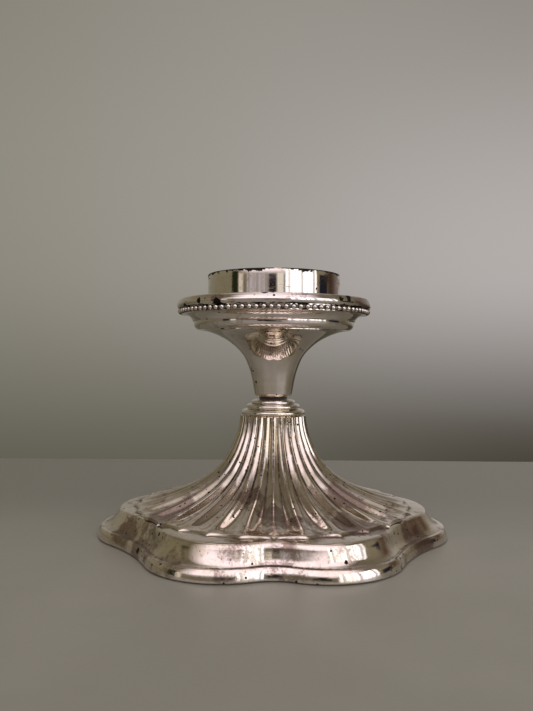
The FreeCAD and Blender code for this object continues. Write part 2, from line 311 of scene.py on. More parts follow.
def silver(name, bright, khaki, brown=(0.26, 0.185, 0.17), tarnish=0.5, brown_level=0.6, pits=0.5, chips=0.5,
           rough=0.14, seed=0.0, streak=None, cling=0.05, clean_from=0.0, gouged=False, stains_and_shadows=(), scars=(),
           relief=0.14):
    """Old silver plate: clear metal, a khaki film, brown mottling, grime in hollows and black chips."""
    n = Nodes(name)
    where = n.place()
    shift = {"Vector": where, "Location": (seed, 0.37 * seed, 0.11)}
    moved = n.add("ShaderNodeMapping", shift).outputs["Vector"]
    crevice = n.add("ShaderNodeAttribute", attribute_name="crevice").outputs["Fac"]
    hollow = n.ramp(crevice, 0.05, 0.75)
    edge = n.ramp(crevice, -0.12, -0.6)
    height_above = n.add("ShaderNodeSeparateXYZ", {"Vector": where}).outputs["Z"]
    cloud = n.noise(moved, 34.0, 5.0, 0.6, 0.4)
    mottle = n.noise(moved, 210.0, 6.0, 0.65, 0.8)
    grain = n.noise(moved, 1500.0, 3.0, 0.6)
    film = n.math("ADD", n.math("MULTIPLY", cloud, 0.65), n.math("MULTIPLY", mottle, 0.35))
    film = n.ramp(film, 0.40, 0.62)
    colour = n.mix(n.math("MULTIPLY", film, tarnish), bright, khaki)
    # brown-purple patches: large clouds broken up by the mottle and the specks
    speck = n.noise(moved, 900.0, 4.0, 0.7, 0.5)
    patch = n.math("MULTIPLY", n.noise(moved, 44.0, 4.0, 0.6, 1.2), 0.50)
    patch = n.math("ADD", patch, n.math("MULTIPLY", n.math("ADD", mottle, speck), 0.25))
    patch = n.math("ADD", patch, n.math("MULTIPLY", hollow, cling))
    # brown patches round the listed places; a place may also be a painted shadow, drawn in the same brown
    patch = near_places(n, where, patch, stains_and_shadows, 0.135)
    if clean_from:
        patch = n.math("SUBTRACT", patch, n.ramp(height_above, clean_from * 0.5, clean_from, 0.0, 0.07))
    browned = n.ramp(patch, brown_level - 0.035, brown_level + 0.05)
    pale_brown = tuple(min(1.0, c * 1.7) for c in brown)
    tone = n.mix(n.ramp(speck, 0.40, 0.60), brown, pale_brown)
    colour = n.mix(n.math("MULTIPLY", browned, 0.85), colour, tone)
    # dark grime that settles in the hollows
    settled = n.ramp(n.noise(moved, 420.0, 4.0, 0.7), 0.22, 0.55)
    dirt = n.math("MULTIPLY", n.ramp(crevice, 0.15, 0.65), settled, True)
    colour = n.mix(n.math("MULTIPLY", dirt, 0.9), colour, (0.05, 0.038, 0.025))
    # pinholes anywhere, and larger chips along the edges and at the scars
    cells = n.add("ShaderNodeTexVoronoi", {"Vector": moved, "Scale": 330.0}, feature="F1")
    pinhole_area = n.ramp(n.noise(moved, 75.0, 3.0, 0.6), 0.70 - 0.22 * pits, 0.74 - 0.22 * pits)
    pinhole = n.math("MULTIPLY", n.ramp(cells.outputs["Distance"], 0.20, 0.13), pinhole_area)
    chip = n.math("MULTIPLY", n.noise(moved, 170.0, 5.0, 0.7, 0.6), 0.72)
    chip = n.math("ADD", chip, n.math("MULTIPLY", edge, 0.16 * chips))
    chip = near_places(n, where, chip, scars, 0.21)
    chip = n.ramp(chip, 0.560 - 0.05 * chips, 0.568 - 0.05 * chips)
    bare = n.math("MAXIMUM", pinhole, chip)
    if gouged:
        turned = {"Vector": moved, "Rotation": (0.15, 0.25, 0.1), "Scale": (60, 60, 1500)}
        turned = n.add("ShaderNodeMapping", turned).outputs["Vector"]
        gouge_area = n.ramp(n.noise(moved, 60.0, 3.0), 0.52, 0.56)
        gouge = n.math("MULTIPLY", n.ramp(n.noise(turned, 1.0, 2.0, 0.5, 0.3), 0.66, 0.675), gouge_area)
        bare = n.math("MAXIMUM", bare, gouge)
    colour = n.mix(bare, colour, (0.022, 0.019, 0.016))
    # fine scratches in two directions
    scratches = []
    scratch_sets = (
        ((0.5, 0.3, 0.9), (30, 3200, 2400), 0.66),
        ((1.2, 0.7, 0.2), (2600, 26, 2600), 0.67),
    )
    for turns, stretch, low in scratch_sets:
        along = n.add("ShaderNodeMapping", {"Vector": moved, "Rotation": turns, "Scale": stretch})
        scratches.append(n.ramp(n.noise(along.outputs["Vector"], 1.0, 2.0), low, low + 0.06))
    scratch = n.math("MAXIMUM", *scratches)
    colour = n.mix(n.math("MULTIPLY", scratch, 0.22), colour, (0.30, 0.25, 0.19))
    n.set(Base_Color=colour, Metallic=1.0)
    roughness = n.math("ADD", rough - 0.03, n.math("MULTIPLY", film, 0.03))
    roughness = n.math("ADD", roughness, n.math("MULTIPLY", mottle, 0.05))
    roughness = n.math("ADD", roughness, n.math("MULTIPLY", browned, 0.13))
    roughness = n.math("ADD", roughness, n.math("MULTIPLY", n.math("MAXIMUM", bare, dirt), 0.4), True)
    n.set(Roughness=roughness)
    height = n.math("ADD", n.math("MULTIPLY", grain, 0.22), n.math("MULTIPLY", mottle, 0.5))
    height = n.math("SUBTRACT", height, n.math("MULTIPLY", bare, 1.3))
    height = n.math("SUBTRACT", height, n.math("MULTIPLY", scratch, 0.12))
    if streak:
        drawn = n.noise(n.place(streak), 1.0, 3.0, 0.6)
        height = n.math("ADD", height, n.math("MULTIPLY", drawn, 0.5))
    bump = n.add("ShaderNodeBump", {"Height": height, "Strength": relief, "Distance": 0.00012})
    n.set(Normal=bump.outputs["Normal"])
    return n.material


def plain_metal(name, light, dark, rough, spots=(0.12, 0.06, 0.03), rust=0.3):
    """Unplated metal out of sight: turned marks, a dull film and a few spots."""
    n = Nodes(name)
    where = n.place()
    crevice = n.add("ShaderNodeAttribute", attribute_name="crevice").outputs["Fac"]
    cloud = n.noise(where, 160.0, 5.0, 0.6)
    colour = n.mix(n.ramp(cloud, 0.35, 0.65), light, dark)
    spot = n.ramp(n.noise(where, 620.0, 4.0, 0.65), 0.66 - 0.12 * rust, 0.72 - 0.12 * rust)
    colour = n.mix(n.math("MULTIPLY", spot, 0.8), colour, spots)
    colour = n.mix(n.math("MULTIPLY", n.ramp(crevice, 0.1, 0.8), 0.7), colour, (0.05, 0.04, 0.03))
    n.set(Base_Color=colour, Metallic=1.0)
    roughness = n.math("ADD", rough, n.math("MULTIPLY", n.math("ADD", cloud, spot), 0.16))
    n.set(Roughness=roughness)
    turned = n.noise(n.place((40, 40, 5200)), 1.0, 2.0)
    height = n.math("ADD", turned, cloud)
    bump = n.add("ShaderNodeBump", {"Height": height, "Strength": 0.25, "Distance": 0.0001})
    n.set(Normal=bump.outputs["Normal"])
    return n.material


def fabric(name, light, dark, scale):
    """Felt or pressed fibre: matted strands, lint and a soft sheen."""
    n = Nodes(name)
    where = n.place()
    strands = n.noise(where, scale, 8.0, 0.75, 2.2)
    cloud = n.noise(where, 60.0, 4.0, 0.6)
    shade = n.math("ADD", n.math("MULTIPLY", strands, 0.7), n.math("MULTIPLY", cloud, 0.3))
    colour = n.mix(n.ramp(shade, 0.38, 0.62), dark, light)
    lint = n.ramp(n.noise(where, scale * 2.4, 2.0), 0.68, 0.74)
    lint_colour = tuple(min(1, c * 3 + 0.1) for c in light)
    colour = n.mix(n.math("MULTIPLY", lint, 0.35), colour, lint_colour)
    n.set(Base_Color=colour, Roughness=n.math("ADD", 0.78, n.math("MULTIPLY", strands, 0.18)))
    n.set(Sheen_Weight=0.5, Sheen_Roughness=0.5)
    bump = n.add("ShaderNodeBump", {"Height": strands, "Strength": 0.7, "Distance": 0.0003})
    n.set(Normal=bump.outputs["Normal"])
    return n.material


BRIGHT = (0.90, 0.835, 0.80)
KHAKI = (0.73, 0.66, 0.49)

# places of the larger brown stain patches and black scars, as (x, y, z, reach) in millimetres; on the foot
# one place is a painted shadow
FOOT_STAINS_AND_SHADOW = [
    # (61, -31, 6, 14) is a painted shadow: the dark brown shade under the lip in the cove on the right, drawn
    # as a brown patch
    (-63, -27, 6.6, 11), (-57, -41, 4, 7), (61, -31, 6, 14), (0, -48.5, 18.7, 12), (-44, -31, 15.6, 15),
    (35, -47, 16, 14), (32, -23, 21, 16), (-10, -33, 23.5, 7), (20, 50, 18, 22), (-50, 30, 18, 20),
    (40, 60, 10, 14),
]
FOOT_SCARS = [
    (-46, -49.6, 12.2, 1.8), (-43.8, -53.8, 12.1, 1.6), (-51.8, -52.6, 3, 2.6), (-55.9, -43.9, 3.7, 2.2),
    (-43.3, -64.1, 4.9, 2.4), (26.8, -69.5, 7.4, 1.4), (21.2, -69.1, 11.4, 1.0),
]
CONE_SCARS = [(-8.1, -5.6, 71.9, 1.3), (-9.5, -8.5, 79, 1.0), (3.9, -23.5, 92.5, 1.6)]
TRAY_STAINS = [(40, -20, 108, 12), (-24, -38, 108, 7), (-10, 42, 108, 12)]
TRAY_SCARS = [
    (-24, -38.5, 106.5, 3.0), (-3.9, -43.6, 110.3, 2.2), (-1, -43.6, 110.3, 1.6), (31.6, -32.4, 109.1, 2.6),
    (28, -35.9, 108.3, 1.8), (-39.4, -21.8, 105.9, 2.4), (-32.6, -31.9, 107.8, 1.8), (30, 34, 108, 3.0),
    (-20, 40, 109, 2.2),
]
CUP_STAINS = [(26.8, -16, 118, 14), (30, -9, 113, 13), (-20, 24, 114, 12)]

foot_silver = silver(
    "foot_silver", (0.88, 0.795, 0.735), (0.58, 0.505, 0.345), brown=(0.21, 0.145, 0.125),
    tarnish=0.72, brown_level=0.557, pits=0.9, chips=0.1, rough=0.085, seed=0.3, cling=0.10,
    clean_from=0.045, stains_and_shadows=FOOT_STAINS_AND_SHADOW, scars=FOOT_SCARS, relief=0.25,
)
collar_silver = silver(
    "collar_silver", BRIGHT, KHAKI, tarnish=0.7, brown_level=0.60, pits=0.3, chips=0.3, rough=0.06, seed=1.1,
)
cone_silver = silver(
    "cone_silver", BRIGHT, KHAKI, tarnish=0.6, brown_level=0.60, pits=0.8, chips=0.6, rough=0.03, seed=2.3,
    scars=CONE_SCARS,
)
tray_silver = silver(
    "tray_silver", BRIGHT, KHAKI, tarnish=0.6, brown_level=0.59, pits=0.7, chips=1.15, rough=0.045, seed=3.7,
    gouged=True, scars=TRAY_SCARS, stains_and_shadows=TRAY_STAINS,
)
bead_silver = silver(
    "bead_silver", BRIGHT, KHAKI, tarnish=0.6, brown_level=0.59, pits=0.2, chips=0.3, rough=0.09, seed=4.9,
)
cup_silver = silver(
    "cup_silver", BRIGHT, KHAKI, tarnish=0.5, brown_level=0.60, pits=0.6, chips=1.35, rough=0.04, seed=6.1,
    streak=(2400, 2400, 20), gouged=True, stains_and_shadows=CUP_STAINS,
)
plate_steel = plain_metal("plate_steel", (0.42, 0.41, 0.39), (0.26, 0.25, 0.23), 0.42, rust=0.6)
bush_brass = plain_metal("bush_brass", (0.72, 0.52, 0.24), (0.50, 0.35, 0.16), 0.24)
nut_brass = plain_metal("nut_brass", (0.66, 0.48, 0.22), (0.42, 0.30, 0.14), 0.30)
washer_steel = plain_metal("washer_steel", (0.50, 0.49, 0.47), (0.32, 0.31, 0.29), 0.34)
stem_nut_steel = plain_metal("stem_nut_steel", (0.52, 0.50, 0.47), (0.34, 0.32, 0.30), 0.32, rust=0.5)
head_washer_steel = plain_metal("head_washer_steel", (0.55, 0.54, 0.52), (0.38, 0.37, 0.35), 0.30)
screw_steel = plain_metal("screw_steel", (0.56, 0.55, 0.53), (0.40, 0.39, 0.37), 0.26, rust=0.4)
felt = fabric("felt", (0.030, 0.036, 0.028), (0.010, 0.012, 0.010), 1400.0)
neck_fibre = fabric("neck_fibre", (0.040, 0.028, 0.020), (0.012, 0.009, 0.007), 1900.0)

# ---------------------------------------------------------------- foot shell
# side profiles as (distance in from the foot's edge, share of the lip's inset, height)
BAND = [
    (0.1, 0, 0.6), (0.0, 0, 0.95), (0.1, 0, 1.7), (0.28, 0, 2.6), (0.5, 0, 3.4), (0.8, 0, 4.1),
    (1.14, 0, 4.7), (1.5, 0, 5.2),
]
COVE = [
    (1.5, 0, 5.2), (1.5, 0.2, 5.42), (1.38, 0.37, 6.2), (1.08, 0.54, 7.3), (0.7, 0.71, 8.8),
    (0.4, 0.86, 10.4), (0.2, 0.96, 11.6),
]
LIP = [(0.2, 0.96, 11.6), (0.3, 1.0, 12.4), (0.75, 1.0, 13.1), (1.5, 1.0, 13.5), (2.4, 1.0, LIP_Z)]
# the body's meridian as (radius, height, flute depth, ridge power): a low power gives a sharp valley
BODY = [
    (64.7, 13.75, 0.0, 2.6), (63.8, 14.6, 0.55, 2.6), (61.0, 15.35, 1.05, 2.6), (56.0, 16.6, 1.4, 2.5),
    (49.5, 18.5, 1.6, 2.3), (42.5, 21.1, 1.6, 2.0), (35.8, 24.4, 1.5, 1.7), (29.6, 28.5, 1.35, 1.5),
    (24.4, 33.6, 1.2, 1.3), (20.3, 39.9, 1.1, 1.15), (17.4, 46.6, 1.0, 1.0), (16.0, 52.0, 0.9, 0.95),
    (NECK_R, NECK_Z, 0.85, 0.9),
]
ARCH = 2.0             # how far each flute's end runs back between two ridges
SKIRT = 0.9            # width of the slope between the shelf and a flute's end
CREST = 0.12           # raised edge at a flute's end
SHELF_Z = 13.85        # flat shelf inside the lip, where it meets the slope
HOLE_R = 6.2           # hole for the bush in the crown


def ring(radius, z):
    z = np.broadcast_to(z, radius.shape)
    return np.stack([radius * SIN_A, radius * COS_A, z], 1)


def foot_outer_rings():
    """The outside of the shell, from its bottom edge up to the crown."""
    rings = []
    side = smooth_path(BAND, 5)[:-1] + smooth_path(COVE, 7)[:-1] + smooth_path(LIP, 5)
    for plain, share, z in side:
        rings.append(ring(OUTLINE - plain - share * INSET, z))
    lip_edge = OUTLINE - LIP[-1][0] - INSET

    # the body's meridian at fine steps
    steps = np.array(smooth_path(BODY, 24))
    span = np.concatenate([[0], np.cumsum(np.hypot(*np.diff(steps[:, :2], axis=0).T))])
    flute = np.abs(np.cos(FLUTES * ANGLES / 2))
    # across is 0 on a ridge and 1 in a flute's middle
    across = np.abs((ANGLES * FLUTES / TURN + 0.5) % 1.0 - 0.5) * 2
    bay = np.clip(1 - (1 - across) ** 2.2, 0, 1) ** 0.6
    nose = NOSE_R - 0.2 - ARCH * bay
    start = np.interp(-nose, -steps[:, 0], span)

    def surface(distance):
        r, z, depth, power = (np.interp(distance, span, steps[:, k]) for k in range(4))
        dr = np.interp(distance + 0.3, span, steps[:, 0]) - np.interp(distance - 0.3, span, steps[:, 0])
        dz = np.interp(distance + 0.3, span, steps[:, 1]) - np.interp(distance - 0.3, span, steps[:, 1])
        size = np.hypot(dr, dz)
        out, up = dz / size, -dr / size
        gone = distance - start
        easing = np.clip(gone / 5.0, 0, 1)
        easing = 0.55 + 0.45 * easing * easing * (3 - 2 * easing)
        cut = depth * easing * (1 - flute ** power)
        rise = CREST * np.sqrt(bay) * np.exp(-(gone / 0.75) ** 2)
        lift = rise - cut
        return r + lift * out, z + lift * up

    first_r, first_z = surface(start)
    for w in (0.25, 0.5, 0.75):
        rings.append(ring(lip_edge + (first_r + SKIRT - lip_edge) * w, LIP_Z + (SHELF_Z - LIP_Z) * w))
    for w in (0.0, 0.3, 0.6, 0.85):
        soft = w * w * (3 - 2 * w)
        rings.append(ring(first_r + SKIRT * (1 - w), SHELF_Z + (first_z - SHELF_Z) * soft))
    total = span[-1]
    flute_ends = 0.045
    for s in list(np.linspace(0, flute_ends, 9)) + list(np.linspace(flute_ends, 1.0, 70))[1:]:
        r, z = surface(start + (total - start) * s)
        rings.append(ring(r, z))
    return rings


def foot_inner_rings():
    """The flat crown, its hole and the inside of the shell, down to the bottom edge."""
    rings = []
    for r in (14.0, 11.0, 8.0, HOLE_R):
        rings.append(ring(np.full(COLUMNS, r), NECK_Z))
    rings.append(ring(np.full(COLUMNS, HOLE_R), NECK_Z - SHEET))
    rings.append(ring(np.full(COLUMNS, NECK_R - BODY[-1][2] - SHEET), NECK_Z - SHEET))
    soft = np.cos(FLUTES * ANGLES / 2) ** 2
    for r, z, depth, power in BODY[-2:0:-1]:
        rings.append(ring(r - 1.9 - depth * 0.6 * (1 - soft), np.full(COLUMNS, z - 1.0)))
    rings.append(ring(OUTLINE - 1.3 - INSET - SHEET, LIP_Z - SHEET))
    for plain, share, z in ((0.5, 0.8, 8.9), (1.6, 0.0, 4.4), (0.1, 0.0, 2.6), (0.5, 0.0, 0.6)):
        rings.append(ring(OUTLINE - plain - share * INSET - SHEET, z))
    return rings


shell_rings = foot_outer_rings() + foot_inner_rings()
make_piece("foot_shell_fluted", np.concatenate(shell_rings), bridge(shell_rings, True), "foot", "foot_shell",
           "foot_silver", foot_silver, sharp=50, reach=0.0016)


def darken_flute_bands(mesh):
    """Darkens half of each flute's pitch, from nothing on the low body up to its most at the neck. The angle
    is taken from +X while the flutes are laid out from +Y, so this half is centred on the ridges.
    """
    low, high, most = 0.017, 0.036, 0.6
    at = np.zeros(len(mesh.vertices) * 3, np.float32)
    mesh.vertices.foreach_get("co", at)
    at = at.reshape(-1, 3)
    across = np.abs((np.arctan2(at[:, 1], at[:, 0]) * FLUTES / TURN + 0.5) % 1.0 - 0.5) * 2
    valley = np.clip((across - 0.5) / 0.4, 0, 1) * np.interp(at[:, 2], [low, high], [0, most])
    hollows = np.zeros(len(mesh.vertices), np.float32)
    mesh.attributes["crevice"].data.foreach_get("value", hollows)
    mesh.attributes["crevice"].data.foreach_set("value", np.maximum(hollows, valley).astype(np.float32))


darken_flute_bands(bpy.data.objects["foot_shell_fluted"].data)


# ---------------------------------------------------------------- underside
def plate(name, inset, z_low, z_high, bevel, body, node, slot_name, material, wobble):
    """A flat plate with the foot's outline, rounded edges and a slightly uneven surface."""
    rng = np.random.default_rng(5)
    rings = []
    edge = [
        (bevel, z_low), (bevel * 0.3, z_low + bevel * 0.3), (0, z_low + bevel), (0, z_high - bevel),
        (bevel * 0.3, z_high - bevel * 0.3), (bevel, z_high),
    ]
    flat_rings = 7
    flat = OUTLINE - inset - bevel
    for k in range(flat_rings):
        rings.append(ring(flat * (k + 1) / (flat_rings + 1), z_low + wobble * rng.random(COLUMNS)))
    rings += [ring(OUTLINE - inset - b, z) for b, z in edge]
    for k in range(flat_rings):
        rings.append(ring(flat * (flat_rings - k) / (flat_rings + 1), z_high - wobble * rng.random(COLUMNS)))
    n = COLUMNS
    verts = np.concatenate(rings + [np.array([[0, 0, z_low], [0, 0, z_high]])])
    faces = bridge(rings, False)
    low, high = len(verts) - 2, len(verts) - 1
    last = (len(rings) - 1) * n
    faces += [(low, (j + 1) % n, j) for j in range(n)]
    faces += [(high, last + j, last + (j + 1) % n) for j in range(n)]
    return make_piece(name, verts, faces, body, node, slot_name, material)


FELT_INSET = 2.2
FELT_T = 1.0
plate("felt_sheet", FELT_INSET, 0.0, FELT_T, 0.25, "foot", "felt_pad", "felt", felt, wobble=0.05)

# ---------------------------------------------------------------- neck
# outside of the collar as (radius, height over the crown), from its top down
collar = raised(NECK_Z, [
    (9.0, 7.3), (10.3, 6.7), (10.4, 6.0), (10.0, 5.6), (11.2, 5.45), (12.6, 4.6), (12.3, 3.4),
    (11.9, 3.05), (13.2, 2.9), (15.0, 1.8), (14.6, 0.4), (14.3, 0.0),
])
COLLAR_TOP = NECK_Z + 7.3
BUSH_LOW = NECK_Z - 9.4
COLLAR_BORE = 6.1      # radius of the hole for the bush
FLANGE_BORE = 7.55     # radius of the recess for the bush's flange
FLANGE_T = 1.5         # thickness of the bush's flange
collar_profile = path(
    arc(*collar[0:3], 10), collar[2:4],
    arc(collar[3], (10.6, NECK_Z + 5.42), collar[4], 3), arc(*collar[4:7], 12),
    collar[6:8], collar[7:9], arc(*collar[8:11], 14), collar[10:12],
    [(COLLAR_BORE, NECK_Z), (COLLAR_BORE, COLLAR_TOP - FLANGE_T), (FLANGE_BORE, COLLAR_TOP - FLANGE_T),
     (FLANGE_BORE, COLLAR_TOP)],
)
lathe("neck_collar_turned", collar_profile, "foot", "neck_collar", "collar_silver", collar_silver,
      reach=0.0009)

# ---------------------------------------------------------------- socket cone
NECK_WASHER_T = 1.4
CONE_H = 31.4
CONE_Z = COLLAR_TOP + NECK_WASHER_T
TRAY_Z = CONE_Z + CONE_H
# outside and inside of the cone as (radius, height over its foot)
cone_out = raised(CONE_Z, [
    (9.0, 2.3), (9.6, 5.4), (10.2, 8.6), (11.4, 13.1), (13.8, 18.8), (17.1, 22.8), (21.4, 26.3),
    (25.8, 28.7), (30.0, 30.3), (33.1, 31.05),
])
cone_in = raised(CONE_Z, [
    (28.6, 31.4), (25.2, 29.9), (21.0, 27.6), (16.6, 24.0), (13.4, 20.0), (10.9, 14.8), (9.4, 10.4),
    (8.5, 6.4), (7.9, 4.4),
])
SCREW_HOLE_R = 4.3     # hole for the clamp screw in the cone's foot and the cup's floor
cone_profile = path(
    arc((7.2, CONE_Z), (8.5, CONE_Z + 0.9), cone_out[0], 10), smooth_path(cone_out, 8),
    [(33.1, TRAY_Z)], smooth_path(cone_in, 5),
    [(SCREW_HOLE_R, CONE_Z + 4.4), (SCREW_HOLE_R, CONE_Z + 3.0), (6.6, CONE_Z + 3.0), (6.6, CONE_Z)],
)
lathe("socket_cone_spun", cone_profile, "holder", "socket_cone", "cone_silver", cone_silver, reach=0.002)

# ---------------------------------------------------------------- drip tray
# the tray as (radius, height over the cone's top): underside outward, round the rim, then the top side inward
t = raised(TRAY_Z, [
    (12.5, 1.3), (12.5, 0.0), (34.2, 0.0), (36.7, 0.6), (37.7, 2.0), (37.75, 3.6), (38.35, 4.0),
    (39.9, 6.3), (43.0, 7.15), (43.55, 7.25), (43.6, 9.75), (45.0, 9.77), (45.65, 11.2), (45.3, 12.6),
    (44.5, 13.8), (42.8, 14.2), (41.3, 13.9), (40.8, 13.1), (42.0, 10.6), (41.4, 8.4), (37.6, 6.4),
    (36.5, 4.2), (36.0, 2.3), (33.6, 1.3),
])
tray_profile = path(
    t[0:3], arc(*t[2:5], 14), t[4:7], arc(*t[6:9], 14), t[8:12], arc(*t[11:14], 14), arc(*t[13:16], 10),
    arc(*t[15:18], 8), arc(*t[17:20], 12), arc(*t[19:22], 10), arc(*t[21:24], 8),
)
lathe("drip_tray_spun", tray_profile, "holder", "drip_tray", "tray_silver", tray_silver,
      segments=360, reach=0.0012)

# ---------------------------------------------------------------- candle cup
CUP_Z = TRAY_Z + 1.3
TOP_Z = TRAY_Z + 25.95
CUP_R = 31.25          # outside of the wall
CUP_BORE = 30.25       # inside of the wall
CUP_FLOOR_T = 1.2
WELL_R = 11.2          # well for the screw's head
WELL_DEPTH = 2.1
WALL_FOOT = 1.4        # the straight wall starts this far above the cup's underside
LIP_DROP = 0.5         # and ends this far below its top


def wall_line(radius, start, end):
    """Eleven points along the cup's straight wall."""
    return [(radius, start + (end - start) * k / 10) for k in range(11)]


well_z = CUP_Z - WELL_DEPTH
well_low = well_z - CUP_FLOOR_T
lip_low = TOP_Z - LIP_DROP
cup_profile = path(
    [(WELL_R, CUP_Z + CUP_FLOOR_T), (WELL_R, well_z), (SCREW_HOLE_R, well_z), (SCREW_HOLE_R, well_low),
     (WELL_R + CUP_FLOOR_T, well_low), (WELL_R + CUP_FLOOR_T, CUP_Z), (20.0, CUP_Z), (29.85, CUP_Z)],
    arc((29.85, CUP_Z), (30.85, CUP_Z + 0.4), (CUP_R, CUP_Z + WALL_FOOT), 6),
    wall_line(CUP_R, CUP_Z + WALL_FOOT, lip_low),
    arc((CUP_R, lip_low), (30.75, TOP_Z), (CUP_BORE, lip_low), 8),
    wall_line(CUP_BORE, lip_low, CUP_Z + 2.2),
    arc((CUP_BORE, CUP_Z + 2.2), (29.9, CUP_Z + 1.5), (29.2, CUP_Z + CUP_FLOOR_T), 5),
    [(20.0, CUP_Z + CUP_FLOOR_T)],
)
lathe("candle_cup_drawn", cup_profile, "holder", "candle_cup", "cup_silver", cup_silver,
      segments=360, reach=0.0010)


# ---------------------------------------------------------------- bead border
def bead_border():
    """Ninety round beads on one backing strip, as one mesh."""
    count = 90
    ball = 1.2         # radius of the largest bead
    flat = 0.97        # a bead's height as a share of its width
    ring_r = 44.1      # radius of the ring through the beads' centres
    z = TRAY_Z + 8.45
    verts, faces = [], []
    segments = 360
    a = np.arange(segments) * TURN / segments
    strip = [
        (43.7, z - 0.75), (44.1, z - 0.75), (44.2, z - 0.6),
        (44.2, z + 0.6), (44.1, z + 0.75), (43.7, z + 0.75),
    ]
    rings = [circle(r, h, a) for r, h in strip]
    verts.append(np.concatenate(rings))
    faces += bridge(rings, True)
    total = segments * len(strip)
    rng = np.random.default_rng(90)
    across, along = 14, 9
    for k in range(count):
        turn = TURN * k / count
        size = ball * (0.965 + 0.03 * rng.random())
        tilt = turn + 0.004 * (rng.random() - 0.5)
        centre = np.array([ring_r * math.cos(tilt), ring_r * math.sin(tilt), z + 0.05 * (rng.random() - 0.5)])
        points = []
        for i in range(1, along):
            lat = math.pi * i / along - math.pi / 2
            for j in range(across):
                lon = TURN * j / across
                p = np.array([math.cos(lat) * math.cos(lon), math.cos(lat) * math.sin(lon), math.sin(lat)])
                points.append(centre + size * p * np.array([1.0, 1.0, flat]))
        points.append(centre - np.array([0, 0, size * flat]))
        points.append(centre + np.array([0, 0, size * flat]))
        verts.append(np.array(points))
        for i in range(along - 2):
            for j in range(across):
                b, c = total + i * across, total + (i + 1) * across
                faces.append((b + j, b + (j + 1) % across, c + (j + 1) % across, c + j))
        low, high = total + len(points) - 2, total + len(points) - 1
        last = total + (along - 2) * across
        faces += [(low, total + (j + 1) % across, total + j) for j in range(across)]
        faces += [(high, last + j, last + (j + 1) % across) for j in range(across)]
        total += len(points)
    return np.concatenate(verts), faces


bead_verts, bead_faces = bead_border()
bead_row = make_piece("bead_border_row", bead_verts, bead_faces, "holder", "bead_border", "bead_silver",
                      bead_silver, sharp=60)
# grime fills the gaps: it is darkest on the backing strip and fades towards the outside of each bead
CLEAN_R = 44.75
GRIME_FADE = 0.45
bead_out = np.hypot(bead_verts[:, 0], bead_verts[:, 1])
bead_grime = np.clip((CLEAN_R - bead_out) / GRIME_FADE, 0, 1).astype(np.float32)
bead_row.data.attributes["crevice"].data.foreach_set("value", bead_grime)


# ---------------------------------------------------------------- clamp screw with a real thread
HEAD_H = 2.2


def clamp_screw():
    """M8 x 1.25: helical thread and domed head, with the height of the head's underside."""
    bottom = BUSH_LOW + 2.5
    under_head = CUP_Z - WELL_DEPTH + 0.8
    pitch, depth = 1.25, 0.68
    around = 48
    per_pitch = 10
    rows = int((under_head - 0.4 - bottom) / pitch * per_pitch)
    a = np.arange(around) * TURN / around
    rings = [circle(2.9, bottom, a)]
    for k in range(rows + 1):
        z = bottom + 0.2 + (under_head - 0.4 - bottom - 0.2) * k / rows
        phase = ((z - bottom) / pitch - a / TURN) % 1.0
        groove = np.clip(1.1 - 2.2 * np.abs(phase - 0.5), 0, 1)
        fade = min(1.0, (z - bottom) / 1.6, (under_head - z) / 2.0)
        chamfer = max(0.0, 0.9 - (z - bottom)) * 0.9
        r = 3.98 - depth * groove * max(0.0, fade) - chamfer
        rings.append(circle(r, z, a))
    head = raised(under_head, [
        (4.0, 0), (7.5, 0), (7.95, 0.25), (7.95, 0.9), (7.4, 1.5), (6.0, 1.95), (4.0, 2.15), (1.4, HEAD_H),
    ])
    rings += [circle(r, z, a) for r, z in head]
    verts = np.concatenate(rings + [np.array([[0, 0, bottom], [0, 0, under_head + HEAD_H]])])
    faces = bridge(rings, False)
    low, high, last = len(verts) - 2, len(verts) - 1, (len(rings) - 1) * around
    faces += [(low, (j + 1) % around, j) for j in range(around)]
    faces += [(high, last + j, last + (j + 1) % around) for j in range(around)]
    return verts, faces, under_head


screw_verts, screw_faces, HEAD_Z = clamp_screw()
screw = make_piece("clamp_screw_threaded", screw_verts, screw_faces, "holder", "clamp_screw", "screw_steel",
                   screw_steel, sharp=30, reach=0.0006)

# the slot across the head, cut with a bar that is then thrown away: 18 long, 1.5 wide, 2.4 high, set 1.1 deep
SLOT_BAR = (18.0, 1.5, 2.4)
SLOT_Z = HEAD_Z + HEAD_H + 0.1
bar_mesh = bpy.data.meshes.new("slot_bar")
bar = bmesh.new()
bmesh.ops.create_cube(bar, size=1.0)
for v in bar.verts:
    v.co = Vector((v.co.x * SLOT_BAR[0], v.co.y * SLOT_BAR[1], v.co.z * SLOT_BAR[2] + SLOT_Z)) * MM
bar.to_mesh(bar_mesh)
bar.free()
bar_object = bpy.data.objects.new("slot_bar", bar_mesh)
bpy.context.scene.collection.objects.link(bar_object)
cut = screw.modifiers.new("slot", "BOOLEAN")
cut.operation = "DIFFERENCE"
cut.solver = "EXACT"
cut.object = bar_object
bpy.context.view_layer.update()
cut_mesh = bpy.data.meshes.new_from_object(screw.evaluated_get(bpy.context.evaluated_depsgraph_get()))
screw.modifiers.clear()
screw.data = cut_mesh
bpy.data.objects.remove(bar_object)

